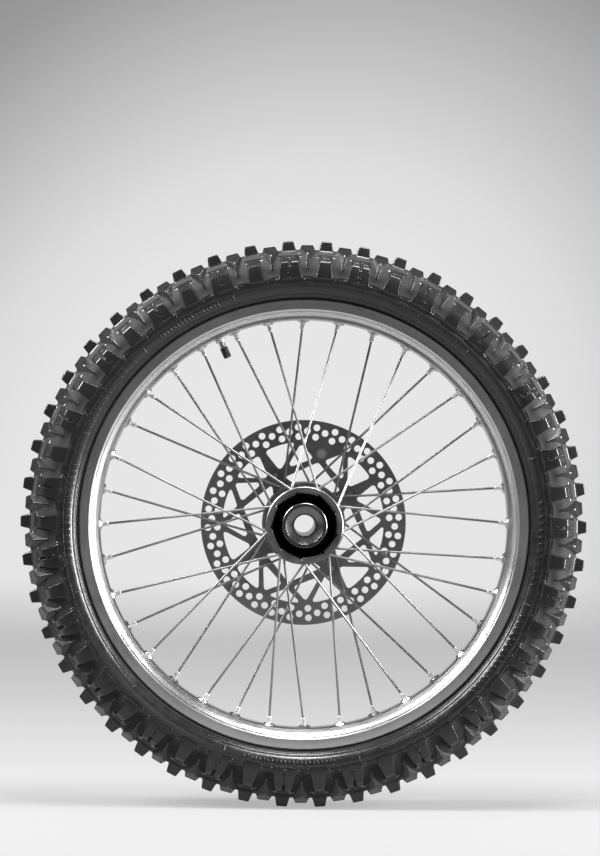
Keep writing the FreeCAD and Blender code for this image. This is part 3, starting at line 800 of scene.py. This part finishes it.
def curve_plate(name, loops, y0, y1, bevel, mat, **kw):
    """flat plate between y0 and y1 from outlines in the wheel plane, its edges bevelled"""
    cu = bpy.data.curves.new(name, "CURVE")
    cu.dimensions = "2D"
    cu.fill_mode = "BOTH"
    cu.extrude = ((y1 - y0) / 2 - bevel) * MM
    cu.bevel_depth = bevel * MM
    cu.bevel_resolution = 2
    cu.offset = -bevel * MM
    for lp in loops:
        sp = cu.splines.new("POLY")
        sp.points.add(len(lp) - 1)
        for i, p in enumerate(lp):
            sp.points[i].co = (p[0] * MM, p[1] * MM, 0, 1)
        sp.use_cyclic_u = True
    tmp = bpy.data.objects.new(name + "_tmp", cu)
    scene.collection.objects.link(tmp)
    dg = bpy.context.evaluated_depsgraph_get()
    me = bpy.data.meshes.new_from_object(tmp.evaluated_get(dg))
    bpy.data.objects.remove(tmp)
    bpy.data.curves.remove(cu)
    # curve plane (x, y) -> wheel plane (x, z), thickness -> y
    me.transform(Matrix(((1, 0, 0, 0), (0, 0, -1, (y0 + y1) / 2 * MM), (0, 1, 0, 0), (0, 0, 0, 1))))
    bm = bmesh.new()
    bm.from_mesh(me)
    bmesh.ops.remove_doubles(bm, verts=bm.verts, dist=1e-6)
    bmesh.ops.recalc_face_normals(bm, faces=bm.faces)
    for fc in bm.faces:
        fc.smooth = True
    for e in bm.edges:
        if len(e.link_faces) == 2 and e.calc_face_angle(0.0) > radians(40):
            e.smooth = False
    bm.to_mesh(me)
    bm.free()
    me.materials.clear()
    me.materials.append(mat)
    me.name = name
    ob = bpy.data.objects.new(name, me)
    scene.collection.objects.link(ob)
    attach(ob, kw.get("body", "wheel"))
    if kw.get("replaces"):
        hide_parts(*kw["replaces"])
    m = ob.modifiers.new("weighted", "WEIGHTED_NORMAL")
    m.keep_sharp = True
    return ob


def circle(c, r, n):
    return [c + r * np.array([cos(2 * pi * i / n), sin(2 * pi * i / n)]) for i in range(n)]


w1 = [(A0 - 10.1, 102.0), (A0 - 5.1, 102.3), (A0, 102.4), (A0 + 4.9, 102.3), (A0 + 10.1, 102.0), (A0 + 10.3, 99.4), (A0, 86.3), (A0 - 10.3, 99.4)]
w2 = [(A0 + 15.8, 100.2), (A0 + 31.2, 71.8), (A0 + 4.7, 82.4)]
w5 = [(2 * A0 - a, R) for a, R in reversed(w2)]
w3 = [(A0 + 19.7, 102.2), (A0 + 25.4, 102.4), (A0 + 30.9, 102.4), (A0 + 36.9, 102.4), (A0 + 42.5, 102.2), (A0 + 38.1, 71.2)]
w4 = [(2 * (A0 + 45) - a, R) for a, R in reversed(w3)]
loops = [circle(np.zeros(2), 130.0, 360)]
inner = []
for k in range(4):
    q = 90.0 * k

    def W(pr, r=3.2):
        return round_poly([P2(R, a + q) for a, R in pr], r, 6)
    if k:
        loops.append(W(w1))
    loops += [W(w2), W(w5), W(w3, 4.0), W(w4, 4.0)]
    # the spider's inner edge: under the lug, then up round the big opening
    seg = [P2(57.5, a + q) for a in np.arange(A0 - 45 - 11.5, A0 - 45 + 11.6, 2.0)]
    seg += [P2(62.0, A0 - 34.7 + q), P2(78.6, A0 + q), P2(62.0, A0 + 34.7 + q)]
    inner += seg
loops.append(round_poly(inner, 4.0, 6))
for i in range(32):
    for R, a in ((121.2, A0 - 5.79), (116.1, A0 - 11.45), (109.2, A0 - 5.79)):
        loops.append(circle(P2(R, a + 11.25 * i), 4.25, 28))
for k in range(4):
    loops.append(circle(P2(BOLT_PCR, BOLT_A + DISC_T + 90 * k), 4.05, 24))
disc_ob = curve_plate("brake_disc_ground", loops, 45.5, 48.5, 0.25, M_DISC, replaces=("brake_disc",), slot="disc_steel")

# ------------------------------------------------------------------ turned parts at the axle
turned("spacer_turned_free_side", [(13.0, -51.0), (15.5, -51.2), (23.2, -55.0), (23.4, -56.0), (27.2, -56.0), (27.9, -55.3), (27.9, -52.6),
                                   (20.0, -52.6), (20.0, -47.0), (17.4, -46.6), (17.4, -46.0), (15.0, -46.0), (15.0, -37.0), (13.0, -37.0)],
       0.25, mat=M_SPACER, body="axle_set", replaces=("wheel_spacer_free_side",), slot="spacer_alloy", sharp=35)
turned("spacer_turned_disc_side", [(13.0, 29.0), (15.0, 29.0), (15.0, 38.0), (17.4, 38.0), (17.4, 38.6), (20.0, 39.0), (20.0, 46.2), (27.9, 46.2), (27.9, 49.0),
                                   (22.0, 51.0), (22.0, 55.4), (21.4, 56.0), (14.0, 56.0), (13.0, 55.5)],
       0.25, mat=M_SPACER, body="axle_set", replaces=("wheel_spacer_disc_side",), slot="spacer_alloy", sharp=35)

# ------------------------------------------------------------------ valve
vd = pol(1, VALVE_A)
zero = np.zeros(3)
TIP = 231.7
prof = [(264.4, 1.6), (264.4, 3.95), (264.0, 4.05), (263.0, 4.05), (262.75, 3.95), (262.7, 3.9), (250.0, 3.9)]
t = 249.6
while t > TIP + 1.6:
    prof += [(t, 3.9), (t - 0.35, 3.55), (t - 0.75, 3.9)]
    t -= 1.0
prof += [(TIP + 0.6, 3.7), (TIP, 3.2), (TIP, 1.6)]


def tube_along(prof, d, segs):
    """turned shell whose outline is closed back on itself, so a bore stays open"""
    u, w, d = basis(d)
    verts, faces = [], []
    m = len(prof)
    for t, r in prof:
        for k in range(segs):
            a = 2 * pi * k / segs
            verts.append(d * t + (u * cos(a) + w * sin(a)) * r)
    for i in range(m):
        j = (i + 1) % m
        for k in range(segs):
            k2 = (k + 1) % segs
            faces.append((i * segs + k, i * segs + k2, j * segs + k2, j * segs + k))
    return verts, faces


v, f = tube_along(prof, vd, 32)
make("valve_stem_threaded", v, f, M_BRASS, body="wheel", replaces=("valve_stem",), slot="valve_brass", sharp=30)


def hexr(af):
    def g(t, r, a):
        x = (a + pi / 6) % (pi / 3) - pi / 6
        return min(r, af / 2 / cos(x))
    return g


def hex_ring(prof, d, segs, af):
    u, w, d = basis(d)
    verts, faces = [], []
    g = hexr(af)
    m = len(prof)
    for t, r in prof:
        for k in range(segs):
            a = 2 * pi * k / segs
            rr = g(t, r, a) if r > 4.3 else r
            verts.append(d * t + (u * cos(a) + w * sin(a)) * rr)
    for i in range(m):
        j = (i + 1) % m
        for k in range(segs):
            k2 = (k + 1) % segs
            faces.append((i * segs + k, i * segs + k2, j * segs + k2, j * segs + k))
    return verts, faces


v, f = hex_ring([(250.6, 4.0), (250.6, 5.9), (251.3, 6.9), (254.2, 6.9), (254.8, 6.2), (254.8, 4.0)], vd, 72, 12.0)
make("valve_nut_hex", v, f, M_BOLT, body="wheel", replaces=("valve_nut",), slot="bolt_steel", sharp=25)


def cap_mesh():
    u, w, d = basis(vd)
    prof = [(TIP + a, r) for a, r in ((11.0, 4.0), (11.0, 4.7), (10.6, 4.9), (-1.0, 4.9), (-1.6, 4.75), (-2.4, 4.1), (-2.8, 3.2), (-2.8, 0.01), (-0.8, 0.01), (-0.8, 4.0))]
    segs = 72
    verts, faces = [], []
    m = len(prof)
    for t, r in prof:
        for k in range(segs):
            a = 2 * pi * k / segs
            rr = r
            if r > 4.6 and TIP - 1.8 < t < TIP + 10.9:
                rr = r - 0.38 * (0.5 + 0.5 * cos(18 * a))
            verts.append(d * t + (u * cos(a) + w * sin(a)) * rr)
    for i in range(m):
        j = (i + 1) % m
        for k in range(segs):
            k2 = (k + 1) % segs
            faces.append((i * segs + k, i * segs + k2, j * segs + k2, j * segs + k))
    return verts, faces


v, f = cap_mesh()
make("valve_cap_ribbed", v, f, M_CAP, body="valve_cap", replaces=("valve_cap",), slot="cap_plastic", sharp=40)

# ------------------------------------------------------------------ disc screws
bb = Bag()
for k in range(4):
    c = pol(BOLT_PCR, BOLT_A + DISC_T + 90 * k, 0)
    prof = [(36.7, 0.5), (36.7, 3.2), (37.4, 3.95)]
    t = 37.8
    while t < 44.5:
        prof += [(t, 3.95), (t + 0.5, 3.5), (t + 1.0, 3.95)]
        t += 1.25
    prof += [(48.3, 3.95), (48.3, 7.1), (48.6, 7.2), (50.0, 6.7), (51.4, 5.7), (51.9, 4.9), (51.9, 2.9), (49.5, 2.7), (49.5, 0.4)]

    def rad(t, r, a):
        if r in (2.9, 2.7):
            x = (a + pi / 6) % (pi / 3) - pi / 6
            return 2.5 / cos(x)
        return r
    bb.add(along(prof, c, (0, 1, 0), 48, rad))
make("disc_screws", bb.v, bb.f, M_BOLT, body="wheel", replaces=("disc_bolts",), slot="bolt_steel", sharp=35)

# ------------------------------------------------------------------ hub, sleeve and seals: smooth shading over the CAD solids, sharp edges past 28 degrees
for nm in ("hub", "distance_sleeve", "oil_seal_free_side", "oil_seal_disc_side"):
    ob = N[nm]
    for p in ob.data.polygons:
        p.use_smooth = True
    ob.data.set_sharp_from_angle(angle=radians(28))

# ------------------------------------------------------------------ studio
def backdrop():
    xs = np.linspace(-7, 7, 57)
    prof = [(-5.5, 0.0), (-3.0, 0.0), (-1.0, 0.0), (0.0, 0.0), (1.0, 0.0), (2.0, 0.0), (2.6, 0.0)]
    for k in range(1, 13):
        a = pi / 2 * k / 12
        prof.append((2.6 + 1.4 * sin(a), 1.4 * (1 - cos(a))))
    prof += [(4.0, 2.0), (4.0, 3.0), (4.0, 4.5), (4.0, 6.5)]
    v, f = [], []
    for y, z in prof:
        for x in xs:
            v.append((x * 1000, y * 1000, (z + FLOOR_Z) * 1000))
    n = len(xs)
    for i in range(len(prof) - 1):
        for j in range(n - 1):
            f.append((i * n + j, i * n + j + 1, (i + 1) * n + j + 1, (i + 1) * n + j))
    me = bpy.data.meshes.new("studio_sweep")
    me.from_pydata([tuple(c * MM for c in p) for p in v], [], f)
    for p in me.polygons:
        p.use_smooth = True
    ob = bpy.data.objects.new("studio_sweep", me)
    scene.collection.objects.link(ob)
    m = Mat("studio_paper", 0.8, 0.9, 0.0, Specular_IOR_Level=0.0)
    # a soft pool of light on the wall behind the wheel, a plain pale floor in front of it
    sep = m.node("ShaderNodeSeparateXYZ")
    m.link(m.coord.outputs["Object"], sep.inputs[0])
    x, y, z = sep.outputs
    dz = m.math("MULTIPLY", z, 1.0)
    x = m.math("SUBTRACT", x, m.math("MULTIPLY", m.math("SUBTRACT", z, 0.15), 0.17))
    d = m.math("SQRT", m.math("ADD", m.math("MULTIPLY", x, x), m.math("MULTIPLY", dz, dz)))
    glow = m.ramp(m.math("MULTIPLY", d, 0.5), [(0.0, 0.78), (0.30, 0.75), (0.39, 0.68), (0.52, 0.50), (0.66, 0.31), (1.0, 0.10)])
    floor = m.math("MULTIPLY", m.math("SUBTRACT", 0.10 + FLOOR_Z, z), 1 / 0.10, clamp=True)
    near = m.math("MULTIPLY", m.math("ADD", y, 1.1), 1 / 0.5, clamp=True)
    m.set("Emission Color", m.mix(near, 0.02, m.mix(floor, glow, 0.44)))
    m.b.inputs["Emission Strength"].default_value = 1.0
    m.set("Base Color", m.mix(near, 0.12, m.mix(floor, 0.03, 0.10)))
    # the paper is seen from its inner side only
    nt = m.m.node_tree
    geo = nt.nodes.new("ShaderNodeNewGeometry")
    clear = nt.nodes.new("ShaderNodeBsdfTransparent")
    mix = nt.nodes.new("ShaderNodeMixShader")
    out = [n for n in nt.nodes if n.type == "OUTPUT_MATERIAL"][0]
    nt.links.new(geo.outputs["Backfacing"], mix.inputs[0])
    nt.links.new(m.b.outputs[0], mix.inputs[1])
    nt.links.new(clear.outputs[0], mix.inputs[2])
    nt.links.new(mix.outputs[0], out.inputs["Surface"])
    me.materials.append(m.m)
    return ob


backdrop()


def area(name, loc, target, size, power, size_y=None):
    li = bpy.data.lights.new(name, "AREA")
    li.energy = power
    li.shape = "RECTANGLE" if size_y else "SQUARE"
    li.size = size
    if size_y:
        li.size_y = size_y
    ob = bpy.data.objects.new(name, li)
    scene.collection.objects.link(ob)
    ob.location = loc
    ob.rotation_mode = "QUATERNION"
    ob.rotation_quaternion = (Vector(target) - Vector(loc)).to_track_quat("-Z", "Y")
    return ob


area("top_soft", (0.25, -0.30, 1.9), (0, 0, 0), 1.1, 85, 0.55)
area("left_strip", (-1.5, -0.28, 1.25), (0, 0, 0), 0.5, 115, 1.1)
area("right_strip", (1.85, -0.28, 0.30), (0, 0, 0), 0.5, 135, 1.4)
area("front_fill", (1.6, -3.4, 1.6), (0, 0, 0), 1.4, 9, 1.4)

world = bpy.data.worlds.new("studio")
scene.world = world
world.use_nodes = True
bg = world.node_tree.nodes["Background"]
bg.inputs[0].default_value = (1, 1, 1, 1)
bg.inputs[1].default_value = 0.13
scene.view_settings.view_transform = "Standard"
scene.view_settings.look = "None"
scene.view_settings.exposure = 0.0

# ------------------------------------------------------------------ camera
cam_data = bpy.data.cameras.new("camera")
cam_data.lens = 3192.0 / 856.0 * 36.0
cam_data.sensor_width = 36.0
cam_data.clip_start, cam_data.clip_end = 0.1, 100.0
cam = bpy.data.objects.new("camera", cam_data)
scene.collection.objects.link(cam)
cam.location = (-0.071, -4.0, 0.158)
CAM_ROLL = 0.68
fwd = Vector((0.01616, 0.9998, -0.00946)).normalized()
q = fwd.to_track_quat("-Z", "Y")
cam.rotation_mode = "QUATERNION"
cam.rotation_quaternion = q @ Quaternion((0, 0, 1), radians(CAM_ROLL))
scene.camera = cam

bpy.context.view_layer.update()
